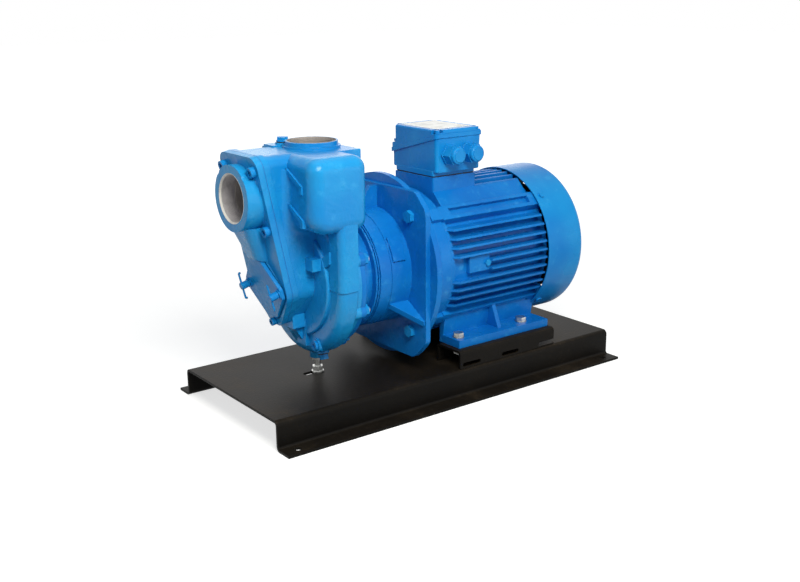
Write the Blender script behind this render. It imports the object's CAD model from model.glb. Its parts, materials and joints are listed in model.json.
# %% [markdown]
# This lesson dresses a self-priming pump that is close coupled to an electric motor and
# stands on a folded steel base. The castings, the sheet and the moving pieces come from
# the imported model, which is loaded first and never moved. What a painter and a machinist
# add is made here: enamel and dust, bare threaded ports, the caps of the cable glands and
# a blank plate on the terminal box. Blender works in metres, and MM turns the
# millimetres of a workshop drawing into them.

import json
import math

import bpy
from mathutils import Matrix, Vector


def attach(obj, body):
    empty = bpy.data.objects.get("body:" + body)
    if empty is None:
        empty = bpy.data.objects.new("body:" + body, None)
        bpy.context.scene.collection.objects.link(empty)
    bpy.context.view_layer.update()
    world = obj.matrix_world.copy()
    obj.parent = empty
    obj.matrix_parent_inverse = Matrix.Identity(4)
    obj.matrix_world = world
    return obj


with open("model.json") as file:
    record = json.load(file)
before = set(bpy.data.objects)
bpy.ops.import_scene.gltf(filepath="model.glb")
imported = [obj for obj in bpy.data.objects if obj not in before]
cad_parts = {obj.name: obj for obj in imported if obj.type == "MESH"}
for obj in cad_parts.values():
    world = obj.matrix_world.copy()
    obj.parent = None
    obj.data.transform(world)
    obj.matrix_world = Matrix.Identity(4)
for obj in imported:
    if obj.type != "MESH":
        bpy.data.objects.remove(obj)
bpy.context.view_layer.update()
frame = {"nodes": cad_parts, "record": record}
nodes = frame["nodes"]
MM = 0.001

# %% [markdown]
# A finish is mostly sums on patterns: so much dust where the noise is high and the face
# looks up. The nodes could be placed one by one, but a sum reads best as plain Python. A
# Wire holds one output socket, and each sign on it adds a Math node. Every other node
# comes from its method add, which makes the node's own settings first and then fills its
# sockets with values or links.

# %% A wire that can be calculated with
class Wire:
    """One output socket in a material's node tree."""

    def __init__(self, tree, socket=None):
        self.tree = tree
        self.socket = socket

    def add(self, kind, settings=None, inputs=None, output=0):
        """A new node, as a wire from one of its outputs."""
        node = self.tree.nodes.new(kind)
        for name, value in (settings or {}).items():
            setattr(node, name, value)
        for name, value in (inputs or {}).items():
            if isinstance(value, Wire):
                self.tree.links.new(value.socket, node.inputs[name])
            else:
                node.inputs[name].default_value = value
        return Wire(self.tree, node.outputs[output] if node.outputs else None)

    def maths(self, operation, first, second):
        return self.add("ShaderNodeMath", {"operation": operation}, {0: first, 1: second})

    def __add__(self, other):
        return self.maths("ADD", self, other)

    def __sub__(self, other):
        return self.maths("SUBTRACT", self, other)

    def __rsub__(self, other):
        return self.maths("SUBTRACT", other, self)

    def __mul__(self, other):
        return self.maths("MULTIPLY", self, other)

    def __pow__(self, other):
        return self.maths("POWER", self, other)

    def __lt__(self, other):
        return self.maths("LESS_THAN", self, other)

    def __gt__(self, other):
        return self.maths("GREATER_THAN", self, other)

    __radd__ = __add__
    __rmul__ = __mul__

    def clipped(self):
        """The value held between 0 and 1."""
        return self.add("ShaderNodeClamp", inputs={"Value": self})

    def rises(self, low, high):
        """A soft step from 0 at low to 1 at high."""
        inputs = {"Value": self, "From Min": low, "From Max": high}
        return self.add("ShaderNodeMapRange", {"interpolation_type": "SMOOTHSTEP"}, inputs)


print("made the class", Wire.__name__)

# %% [markdown]
# Colours can't go through Math nodes, which would turn them grey, so a Mix node blends
# them by a mask. Its sockets share their names, and their numbers tell them apart. The
# colours themselves are written as the eye sees them on a screen, from 0 to 255, and
# changed here to the linear values that a shader adds up.

# %% Colours
MIX_MASK, MIX_FIRST, MIX_SECOND, MIX_RESULT = 0, 6, 7, 2


def mixed(mask, first, second):
    """Colour first where the mask is 0 and second where it is 1."""
    inputs = {MIX_MASK: mask, MIX_FIRST: first, MIX_SECOND: second}
    return mask.add("ShaderNodeMix", {"data_type": "RGBA"}, inputs, output=MIX_RESULT)


def linear(red, green, blue):
    """A screen colour, 0 to 255, as the linear values that a shader wants."""
    parts = [value / 255 for value in (red, green, blue)]
    parts = [v / 12.92 if v <= 0.04045 else ((v + 0.055) / 1.055) ** 2.4 for v in parts]
    return (*parts, 1.0)


print("middle grey", [round(part, 3) for part in linear(128, 128, 128)])

# %% [markdown]
# Paint, dust and grain have to stay put when their piece moves, so every pattern starts
# from the place on the object. One helper opens a material and hands out that place, and
# another wires the surface shader at the end. Only colour, roughness and the normal vary
# over a surface: those are what the exported model can keep.

# %% Open and close a finish
def open_finish(name):
    material = bpy.data.materials.new(name)
    material.use_nodes = True
    material.node_tree.nodes.clear()
    start = Wire(material.node_tree)
    return material, start.add("ShaderNodeTexCoord", output="Object")


def close_finish(material, place, **sockets):
    """Surface shader with its sockets filled: base_color stands for Base Color."""
    names = {key: key.replace("_", " ").title().replace("Ior", "IOR") for key in sockets}
    inputs = {names[key]: value for key, value in sockets.items()}
    surface = place.add("ShaderNodeBsdfPrincipled", inputs=inputs)
    place.add("ShaderNodeOutputMaterial", inputs={"Surface": surface})
    print("finish", material.name)
    return material


# %% [markdown]
# Three things make these surfaces look cast, pressed or cut: a pattern, a skin and soft
# edges. Noise gives the patterns. The skin is a Bump node, whose height is in metres, so
# a tenth of a millimetre is written as such. A real edge is never a knife edge. It could
# be cut into each mesh, but a Bevel node rounds the shading there and adds no face.

# %% Patterns, skin and soft edges
BEVEL_SAMPLES = 4


def split(place):
    """The x, y and z of a place as three wires."""
    return [place.add("ShaderNodeSeparateXYZ", inputs={0: place}, output=k) for k in "XYZ"]


def noise(place, scale, detail=3.0, rough=0.55):
    """Noise with this many cells to the metre: at 8, a cloud is about 125 mm wide."""
    inputs = {"Vector": place, "Scale": scale, "Detail": detail, "Roughness": rough}
    return place.add("ShaderNodeTexNoise", inputs=inputs)


def skin(place, height, edge):
    """Shading normal of a skin with this height, over edges of this radius."""
    rounded = place.add("ShaderNodeBevel", {"samples": BEVEL_SAMPLES}, {"Radius": edge})
    return height.add("ShaderNodeBump", inputs={"Height": height, "Distance": 1.0,
                                                "Strength": 1.0, "Normal": rounded})


print("made the helpers", split.__name__, noise.__name__, skin.__name__)

# %% [markdown]
# The machine was painted with its ports plugged, so the enamel stops in the suction boss
# and inside the discharge rim, where bare iron shows. The casting could be cut into
# painted and bare pieces there. A mask is simpler and leaves the mesh alone: it is 1
# inside two short round bores, found from each place's distance to their axes.

# %% Where no paint goes
SUCTION_MOUTH = Vector((-323.0, 0.0, 349.3)) * MM
DISCHARGE_MOUTH = Vector((-180.0, 0.0, 423.5)) * MM
SUCTION_BARE = {"radius": 44.0 * MM, "ends": (-321.5 * MM, -240.0 * MM)}
DISCHARGE_BARE = {"radius": 37.8 * MM, "ends": (360.0 * MM, 422.5 * MM)}


def in_bore(across, aside, along, radius, ends):
    """1 within the radius of an axis, between two ends along it."""
    near_axis = (across * across + aside * aside) < radius ** 2
    return near_axis * (along > ends[0]) * (along < ends[1])


def bare_inside(place):
    x, y, z = split(place)
    suction = in_bore(y, z - SUCTION_MOUTH.z, x, **SUCTION_BARE)
    discharge = in_bore(y, x - DISCHARGE_MOUTH.x, z, **DISCHARGE_BARE)
    return (suction + discharge).clipped()


print("bare bores", 2 * SUCTION_BARE["radius"], 2 * DISCHARGE_BARE["radius"], "m across")

# %% [markdown]
# The pump and the motor wear one gloss enamel, but it isn't one flat blue. It lies in
# broad clouds of two coats, and is thin and paler on the grain. The motor's coat is a
# little deeper than the pump's. On a sand casting the paint keeps a fine orange-peel skin
# with broader unevenness below it, so the skin adds two noises, and pressed sheet has
# almost none of the second. One function with a few choices makes all four enamels.

# %% Blue enamel
BODY_COATS = (linear(22, 136, 204), linear(12, 118, 194))
PUMP_COATS = (linear(26, 144, 205), linear(14, 126, 196))
MOTOR_COATS = (linear(14, 116, 194), linear(8, 102, 184))
ENAMEL_THIN = linear(70, 172, 222)
BARE_IRON = linear(170, 163, 160)
ORANGE_PEEL = 0.1 * MM
CASTING_GRAIN = 0.9 * MM
FRAME_GRAIN = 0.7 * MM
SHEET_GRAIN = 0.1 * MM
ENAMEL_EDGE = 1.2 * MM


def enamel(name, grain, coats=BODY_COATS, sheen=0.13, bare=False):
    """Gloss enamel; grain is the depth of the unevenness below the paint."""
    material, place = open_finish(name)
    cloud = noise(place, 8.0).rises(0.38, 0.68)
    thin = noise(place, 55.0, detail=4.0, rough=0.6).rises(0.56, 0.8) * 0.35
    colour = mixed(thin, mixed(cloud, *coats), ENAMEL_THIN)
    if bare:
        colour = mixed(bare_inside(place), colour, BARE_IRON)
    height = noise(place, 260.0, detail=2.0) * ORANGE_PEEL + noise(place, 85.0) * grain
    gloss = noise(place, 16.0) * 0.12 + 0.22
    return close_finish(material, place, base_color=colour, roughness=gloss,
                        normal=skin(place, height, ENAMEL_EDGE), specular_ior_level=sheen)


cast_enamel = enamel("cast_enamel", CASTING_GRAIN)
wet_enamel = enamel("wet_enamel", CASTING_GRAIN, coats=PUMP_COATS, sheen=0.24, bare=True)
motor_enamel = enamel("motor_enamel", FRAME_GRAIN, coats=MOTOR_COATS)
sheet_enamel = enamel("sheet_enamel", SHEET_GRAIN)

# %% [markdown]
# The base is folded sheet in black enamel that has stood in a workshop. A warm grey dust
# lies in patches on the deck and hardly at all on the upright sides, so its mask mixes two
# noises with how far a face looks up. The normal of the Texture Coordinate node gives
# that, and it turns with the piece. Dust is matt, so the same mask makes it rougher.

# %% Black enamel with dust
DUST = linear(112, 96, 76)
BLACK = linear(12, 11, 10)
SHEET_SKIN = 0.2 * MM
FOLDED_EDGE = 0.8 * MM


def black_enamel():
    material, place = open_finish("black_enamel")
    patches = noise(place, 6.0, detail=6.0, rough=0.65).rises(0.45, 0.75)
    grit = noise(place, 150.0, detail=4.0, rough=0.7).rises(0.5, 0.72)
    facing = place.add("ShaderNodeTexCoord", output="Normal")
    upward = split(facing)[2].rises(0.4, 0.9)
    dust = ((patches * 0.24 + 0.06) * (grit * 0.6 + 0.4) * (upward * 0.8 + 0.2)).clipped()
    height = noise(place, 300.0, detail=2.0) * SHEET_SKIN
    return close_finish(material, place, base_color=mixed(dust, BLACK, DUST),
                        roughness=dust * 0.4 + 0.42,
                        normal=skin(place, height, FOLDED_EDGE), specular_ior_level=0.06)


base_enamel = black_enamel()

# %% [markdown]
# Bolts, shafts, seals and boards differ mainly in colour, in gloss and in whether they
# conduct, so one helper makes them all. Each has a fine grain, uneven gloss, and patches
# of a darker tone where hands and oil have been. The iron of the two bores is three
# tones: the suction bore looks into the light, the discharge bore lies in its own shade,
# and a fresh cut shines at the mouth.

# %% Metals and plastics
FINE_GRAIN = 0.1 * MM
BORED_GRAIN = 0.3 * MM
SMALL_EDGE = 0.5 * MM


def plain_finish(name, colour, roughness, metallic=0.0, grain=FINE_GRAIN):
    material, place = open_finish(name)
    stained = (*(part * 0.72 for part in colour[:3]), 1.0)
    tone = mixed(noise(place, 45.0, detail=4.0).rises(0.3, 0.55), stained, colour)
    height = noise(place, 220.0) * grain
    rough = noise(place, 30.0) * 0.12 + (roughness - 0.06)
    return close_finish(material, place, base_color=tone, roughness=rough, metallic=metallic,
                        normal=skin(place, height, SMALL_EDGE))


zinc = plain_finish("zinc", linear(196, 197, 194), 0.32, metallic=1.0)
steel = plain_finish("steel", linear(168, 170, 172), 0.3, metallic=1.0)
iron = plain_finish("iron", linear(98, 96, 97), 0.6, metallic=0.4, grain=0.5 * MM)
copper = plain_finish("copper", linear(150, 84, 44), 0.45, metallic=0.8)
bore_iron = plain_finish("bore_iron", linear(182, 177, 180), 0.55, grain=BORED_GRAIN)
shaded_iron = plain_finish("shaded_iron", linear(150, 142, 138), 0.6, grain=BORED_GRAIN)
cut_face = plain_finish("cut_face", linear(226, 222, 216), 0.45)
rubber = plain_finish("rubber", linear(22, 22, 23), 0.75)
board = plain_finish("board", linear(196, 188, 168), 0.5)
fan_black = plain_finish("fan_black", linear(20, 20, 21), 0.5)
label_white = plain_finish("label_white", linear(226, 226, 224), 0.45)
painted_gasket = plain_finish("painted_gasket", linear(12, 98, 176), 0.5)

# %% [markdown]
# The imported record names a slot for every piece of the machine, and most pieces take the
# finish of their slot. Some differ by how they are made: the casings were sprayed thick
# and wet, the motor has its own tint, the cowl and terminal box are smooth, and the
# cover's gasket was painted over. A finish could be chosen piece by piece, but a table
# for the slots and a short one for the exceptions can be read at a glance. Nothing is
# moved, and each mesh only gets its material.

# %% Finishes of the machine's pieces
SLOT_FINISH = {
    "blue_enamel": cast_enamel, "black_enamel": base_enamel, "zinc_steel": zinc,
    "machined_steel": steel, "bare_iron": iron, "core_steel": iron, "copper_winding": copper,
    "gland_metal": sheet_enamel, "terminal_plastic": board, "fan_plastic": fan_black,
    "seal_rubber": rubber,
}
PIECE_FINISH = {
    "suction_cover": wet_enamel, "pump_casing": wet_enamel, "cover_gasket": painted_gasket,
    "motor_frame": motor_enamel, "flange_end_shield": motor_enamel,
    "pump_bracket": motor_enamel, "rear_end_shield": motor_enamel,
    "fan_cowl": sheet_enamel, "terminal_box": sheet_enamel, "terminal_lid": sheet_enamel,
    "lid_screws": sheet_enamel,
}
for entry in frame["record"]["subparts"]:
    finish = PIECE_FINISH.get(entry["node"], SLOT_FINISH[entry["material_slot"]])
    nodes[entry["node"]].data.materials.clear()
    nodes[entry["node"]].data.materials.append(finish)

# %% [markdown]
# The details that follow are modelled as by hand: a primitive is added at its size and
# place, shaped in edit mode, and finished with modifiers. An operator acts on all that is
# selected, so each piece starts with nothing selected. The last helper applies the
# modifiers and the placement, merges doubles, turns the faces outwards and hands the
# piece to the fixed body, so that it rides there as a CAD piece does.

# %% Helpers for added pieces
MERGE_DISTANCE = 1e-6


def start_fresh():
    if bpy.context.object and bpy.context.object.mode == "EDIT":
        bpy.ops.object.mode_set(mode="OBJECT")
    bpy.ops.object.select_all(action="DESELECT")


def pick_faces(piece, chosen):
    """Selects, in edit mode, the faces whose normal passes the test."""
    bpy.ops.object.mode_set(mode="EDIT")
    bpy.ops.mesh.select_mode(type="FACE")
    bpy.ops.mesh.select_all(action="DESELECT")
    bpy.ops.object.mode_set(mode="OBJECT")
    for face in piece.data.polygons:
        face.select = chosen(face.normal)
    bpy.ops.object.mode_set(mode="EDIT")


def add_wall(piece, thickness, offset):
    """A wall on an open shell: outwards at offset 1, half to each side at 0."""
    wall = piece.modifiers.new("wall", "SOLIDIFY")
    wall.thickness = thickness
    wall.offset = offset


def close_piece(piece, name, finish, smooth=35.0):
    """Applies and cleans the piece; edges flatter than smooth, in degrees, are shaded over."""
    for modifier in list(piece.modifiers):
        bpy.ops.object.modifier_apply(modifier=modifier.name)
    bpy.ops.object.transform_apply(location=True, rotation=True, scale=True)
    bpy.ops.object.mode_set(mode="EDIT")
    bpy.ops.mesh.select_all(action="SELECT")
    bpy.ops.mesh.remove_doubles(threshold=MERGE_DISTANCE)
    bpy.ops.mesh.normals_make_consistent(inside=False)
    bpy.ops.object.mode_set(mode="OBJECT")
    bpy.ops.object.shade_smooth_by_angle(angle=math.radians(smooth))
    piece.name = name
    piece.data.materials.clear()
    piece.data.materials.append(finish)
    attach(piece, "pump_set")
    sizes = [round(size / MM, 1) for size in piece.dimensions]
    print(name, sizes, "mm", len(piece.data.polygons), "faces")


# %% [markdown]
# Both ports are bored and threaded after casting. The bore's bare iron could be a finish
# of the casting's own faces, but a thin sleeve takes it without a change to that mesh. It
# is an open cylinder with a wall added outwards, because the inside is what shows. Each
# port is known by its mouth, the way in, and the turn that stands a new piece's z axis
# along the way out, and the sleeve starts just inside the mouth.

# %% Bore sleeves
OUTWARD_X = (0.0, -math.pi / 2, 0.0)
OUTWARD_Z = (0.0, 0.0, 0.0)
PORTS = {
    "suction": (SUCTION_MOUTH, Vector((1.0, 0.0, 0.0)), OUTWARD_X),
    "discharge": (DISCHARGE_MOUTH, Vector((0.0, 0.0, -1.0)), OUTWARD_Z),
}
SIDES = 96
THREAD_RADIUS = 36.1 * MM
SLEEVE_RADIUS = THREAD_RADIUS - 0.35 * MM
SLEEVE_START = 3.0 * MM
SLEEVE_WALL = 0.3 * MM


def bore_sleeve(port, length, finish):
    mouth, inward, turn = PORTS[port]
    middle = mouth + inward * (SLEEVE_START + length / 2)
    start_fresh()
    bpy.ops.mesh.primitive_cylinder_add(vertices=SIDES, radius=SLEEVE_RADIUS, depth=length,
                                        end_fill_type="NOTHING", rotation=turn,
                                        location=middle)
    sleeve = bpy.context.object
    add_wall(sleeve, SLEEVE_WALL, 1.0)
    close_piece(sleeve, port + "_bore", finish)


print("sleeves will be", round(2 * SLEEVE_RADIUS / MM, 1), "mm wide inside")

# %% [markdown]
# A pipe thread could be swept as a helix, but from outside only its crests show, close
# together and almost square to the bore. Slim rings stand for them. A torus with only four
# sides round its tube has their pointed section, and an array repeats it inwards at the
# pitch of the thread. Each port then gets its sleeve and its crests, of one length.

# %% Thread crests
PITCH = 2.309 * MM
CREST_HALF_WIDTH = 0.45 * MM
FIRST_CREST = 1.5 * MM
THREAD_RUN_OUT = 2.0 * MM
CREST_SMOOTH = 20.0
BORES = {"suction": (22.5 * MM, bore_iron), "discharge": (28.5 * MM, shaded_iron)}


def thread_crests(port, length, finish):
    mouth, inward, turn = PORTS[port]
    start_fresh()
    bpy.ops.mesh.primitive_torus_add(major_segments=SIDES, minor_segments=4,
                                     major_radius=SLEEVE_RADIUS,
                                     minor_radius=CREST_HALF_WIDTH, rotation=turn,
                                     location=mouth + inward * (SLEEVE_START + FIRST_CREST))
    crest = bpy.context.object
    row = crest.modifiers.new("row", "ARRAY")
    row.count = int((length - THREAD_RUN_OUT) / PITCH)
    row.use_relative_offset = False
    row.use_constant_offset = True
    row.constant_offset_displace = (0.0, 0.0, -PITCH)
    close_piece(crest, port + "_thread", finish, smooth=CREST_SMOOTH)


for port, (length, finish) in BORES.items():
    bore_sleeve(port, length, finish)
    thread_crests(port, length, finish)

# %% [markdown]
# The cutter that faces a port leaves a bright ring round its mouth, where the paint stops.
# It could be a painted band, but the cut catches light at an angle of its own. It is a
# short open cone, wider outwards, with a thin wall, and lies on the casting's chamfer.

# %% Bright mouth rings
RING_DEPTH = 3.0 * MM
RING_PROUD = 0.15 * MM
RING_WALL = 0.5 * MM
RINGS = {"suction": (35.9 * MM, 38.0 * MM, cut_face),
         "discharge": (37.5 * MM, 37.9 * MM, shaded_iron)}


def mouth_ring(port, inner, outer, finish):
    mouth, inward, turn = PORTS[port]
    start_fresh()
    bpy.ops.mesh.primitive_cone_add(vertices=SIDES, radius1=inner, radius2=outer,
                                    depth=RING_DEPTH, end_fill_type="NOTHING", rotation=turn,
                                    location=mouth + inward * (RING_DEPTH / 2 - RING_PROUD))
    ring = bpy.context.object
    add_wall(ring, RING_WALL, 0.0)
    close_piece(ring, port + "_mouth", finish)


for port, (inner, outer, finish) in RINGS.items():
    mouth_ring(port, inner, outer, finish)

# %% [markdown]
# Each cable gland ends in a domed cap nut with a ring pressed into its face. It could be
# spun from a profile, but the turned look comes as fast from a cylinder: its rim is
# bevelled, and its end face is inset, pushed in, inset again and pushed part of the way
# out. The second cap is a copy of the first with a mesh of its own, one gland further on.

# %% Gland caps
GLAND_X = (45.0 * MM, 84.0 * MM)
GLAND_END_Y = -80.2 * MM
GLAND_Z = 386.0 * MM
CAP_RADIUS = 13.8 * MM
CAP_LENGTH = 8.0 * MM
CAP_OVERLAP = 1.0 * MM
CAP_SIDES = 48
DOME = 3.4 * MM
DOME_STEPS = 6
FACE_RIM = 1.0 * MM
FACE_DEPTH = 0.9 * MM
GROOVE_WIDTH = 0.9 * MM
BUTTON_RISE = 0.7 * MM
ANY_FRONT = -0.9
FLAT_FRONT = -0.999


def push_face(distance):
    """Extrudes the chosen face along y, which points into the gland."""
    bpy.ops.mesh.extrude_region_move(TRANSFORM_OT_translate={"value": (0.0, distance, 0.0)})


def front_cap():
    middle_y = GLAND_END_Y + CAP_OVERLAP - CAP_LENGTH / 2
    start_fresh()
    bpy.ops.mesh.primitive_cylinder_add(vertices=CAP_SIDES, radius=CAP_RADIUS,
                                        depth=CAP_LENGTH,
                                        rotation=(math.pi / 2, 0.0, 0.0),
                                        location=(GLAND_X[0], middle_y, GLAND_Z))
    cap = bpy.context.object
    bpy.ops.object.transform_apply(location=True, rotation=True, scale=True)
    pick_faces(cap, lambda normal: normal.y < ANY_FRONT)
    bpy.ops.mesh.bevel(offset=DOME, segments=DOME_STEPS, affect="EDGES")
    pick_faces(cap, lambda normal: normal.y < FLAT_FRONT)
    bpy.ops.mesh.inset(thickness=FACE_RIM)
    push_face(FACE_DEPTH)
    bpy.ops.mesh.inset(thickness=GROOVE_WIDTH)
    push_face(-BUTTON_RISE)
    bpy.ops.object.mode_set(mode="OBJECT")
    close_piece(cap, "gland_cap_front", sheet_enamel)
    return cap


def rear_cap(first):
    start_fresh()
    first.select_set(True)
    bpy.context.view_layer.objects.active = first
    bpy.ops.object.duplicate(linked=False)
    cap = bpy.context.object
    cap.location.x += GLAND_X[1] - GLAND_X[0]
    close_piece(cap, "gland_cap_rear", sheet_enamel)


rear_cap(front_cap())

# %% [markdown]
# A blank pale plate lies on the lid of the terminal box. A coloured patch in the lid's
# finish would do from afar, but it has no edge that catches light. The plate is a plane
# whose corners are rounded by a bevel of the vertices, then thickened upwards. It lies
# clear of the screws.

# %% Blank plate on the lid
PLATE_MIDDLE = (64.0 * MM, 0.0, 426.55 * MM)
PLATE_SIZE = (74.0 * MM, 96.0 * MM)
PLATE_CORNER = 5.0 * MM
CORNER_STEPS = 5
PLATE_THICKNESS = 0.35 * MM

start_fresh()
bpy.ops.mesh.primitive_plane_add(size=1.0, location=PLATE_MIDDLE)
plate = bpy.context.object
plate.scale = (*PLATE_SIZE, 1.0)
bpy.ops.object.transform_apply(location=False, rotation=False, scale=True)
corners = plate.modifiers.new("corners", "BEVEL")
corners.affect = "VERTICES"
corners.width = PLATE_CORNER
corners.segments = CORNER_STEPS
add_wall(plate, PLATE_THICKNESS, 1.0)
close_piece(plate, "lid_plate", label_white)

# %% [markdown]
# The machine stands in a white studio. More light would bleach the paint, so the white
# belongs to the floor and the world alone, and only for the rays that look at them: those
# of the camera and those that gloss, metal and glass send out. Near the machine the floor
# keeps its shadow, and with the distance it brightens until no horizon shows.

# %% Floor
FLOOR_SIZE = 24.0
FLOOR_GREY = (0.55, 0.55, 0.55, 1.0)
WHITE = (1.0, 1.0, 1.0, 1.0)
FADE_STARTS, FADE_ENDS = 0.45, 2.2
NEAR_GLOW, FAR_GLOW = 0.68, 0.35


def seen_rays(start):
    """1 for camera, glossy and transmission rays, which show the background."""
    kinds = ("Is Camera Ray", "Is Glossy Ray", "Is Transmission Ray")
    camera, glossy, through = (start.add("ShaderNodeLightPath", output=kind) for kind in kinds)
    return (camera + glossy + through).clipped()


start_fresh()
bpy.ops.mesh.primitive_plane_add(size=FLOOR_SIZE, location=(0.0, 0.0, 0.0))
floor = bpy.context.object
floor.name = "floor"
floor_finish, floor_place = open_finish("floor_finish")
x, y = split(floor_place)[:2]
far_away = ((x * x + y * y) ** 0.5).rises(FADE_STARTS, FADE_ENDS)
strength = seen_rays(floor_place) * (far_away * FAR_GLOW + NEAR_GLOW)
matt = floor_place.add("ShaderNodeBsdfDiffuse", inputs={"Color": FLOOR_GREY})
glow = floor_place.add("ShaderNodeEmission", inputs={"Color": WHITE, "Strength": strength})
both = floor_place.add("ShaderNodeAddShader", inputs={0: matt, 1: glow})
floor_place.add("ShaderNodeOutputMaterial", inputs={"Surface": both})
floor.data.materials.append(floor_finish)
print("floor", FLOOR_SIZE, "m square, white from", FADE_ENDS, "m")

# %% [markdown]
# The world does two jobs. To the rays that see it, it is plain white, and to the paint it
# sends a weak cool light from all round, as white walls would, which keeps the shaded
# sides blue and not black. A Mix Shader chooses between the two by the same mask as on
# the floor.

# %% World
COOL = (0.86, 0.93, 1.0, 1.0)
COOL_STRENGTH = 0.19
WHITE_STRENGTH = 1.0

world = bpy.data.worlds.new("studio")
bpy.context.scene.world = world
world.use_nodes = True
world.node_tree.nodes.clear()
sky = Wire(world.node_tree)
sent = sky.add("ShaderNodeBackground", inputs={"Color": COOL, "Strength": COOL_STRENGTH})
white = sky.add("ShaderNodeBackground", inputs={"Color": WHITE, "Strength": WHITE_STRENGTH})
shown = sky.add("ShaderNodeMixShader", inputs={0: seen_rays(sky), 1: sent, 2: white})
sky.add("ShaderNodeOutputWorld", inputs={"Surface": shown})
print("world", world.name, "sends", COOL_STRENGTH, "and shows", WHITE_STRENGTH)

# %% [markdown]
# The light is that of a studio: one strong soft box above the pump end, a large weak one
# in front of the motor, one overhead, and two that keep the end and the back from going
# black. Points or a sun would cast hard shadows between the fins, so all are areas. Each is
# given as its place, the point it looks at, its size, its power in watts and its tint.

# %% Lamps
PLAIN = (1.0, 1.0, 1.0)
LAMPS = {
    "key": ((-0.45, -1.05, 1.2), (-0.25, 0.0, 0.28), (0.7, 0.5), 22.0, (1.0, 1.0, 0.92)),
    "fill": ((1.0, -1.8, 0.5), (-0.1, 0.0, 0.3), (1.4, 1.0), 6.5, PLAIN),
    "top": ((-0.1, 0.1, 1.9), (-0.1, 0.0, 0.3), (1.4, 1.0), 5.0, PLAIN),
    "side": ((-1.9, -0.1, 0.8), (-0.1, 0.0, 0.25), (0.8, 1.0), 2.4, PLAIN),
    "back": ((0.95, 1.8, 0.8), (0.0, 0.0, 0.3), (1.8, 1.0), 5.0, PLAIN),
}
for name, (place, target, size, power, tint) in LAMPS.items():
    light = bpy.data.lights.new(name, "AREA")
    light.shape = "RECTANGLE"
    light.size, light.size_y = size
    light.energy = power
    light.color = tint
    holder = bpy.data.objects.new(name, light)
    bpy.context.scene.collection.objects.link(holder)
    holder.location = place
    holder.rotation_mode = "QUATERNION"
    holder.rotation_quaternion = (Vector(target) - Vector(place)).to_track_quat("-Z", "Y")
    print("lamp", name, power, "W")

# %% [markdown]
# The camera looks at the machine from the pump's end, a little from above. Its place, its
# heading and height and a slight lean were worked out from straight edges of the base and
# from the motor's standard sizes. A camera could be aimed with a constraint, but three
# axes built from those angles can be checked: back points away from the machine, and the
# crown is up in the picture, leaned with the camera. The focal length is known in pixels
# of an image 800 wide, so the lens follows from the sensor's width.

# %% Camera
EYE = (-1.05902, -1.40061, 0.64858)
HEADING = math.radians(-36.7546)
HEIGHT = math.radians(15.8508)
LEAN = math.radians(-0.5962)
FOCAL_PIXELS = 1071.718
IMAGE_WIDTH = 800
SENSOR_WIDTH = 36.0

level = math.cos(HEIGHT)
back = Vector((math.sin(HEADING) * level, -math.cos(HEADING) * level, math.sin(HEIGHT)))
right = (-back).cross(Vector((0.0, 0.0, 1.0))).normalized()
upward = right.cross(-back)
side = right * math.cos(LEAN) + upward * math.sin(LEAN)
crown = upward * math.cos(LEAN) - right * math.sin(LEAN)
camera_data = bpy.data.cameras.new("camera")
camera_data.sensor_width = SENSOR_WIDTH
camera_data.lens = FOCAL_PIXELS / IMAGE_WIDTH * SENSOR_WIDTH
camera = bpy.data.objects.new("camera", camera_data)
bpy.context.scene.collection.objects.link(camera)
camera.matrix_world = (Matrix.Translation(EYE)
                       @ Matrix((side, crown, back)).transposed().to_4x4())
bpy.context.scene.camera = camera
bpy.context.scene.view_settings.view_transform = "Standard"
print("lens", round(camera_data.lens, 2), "mm")
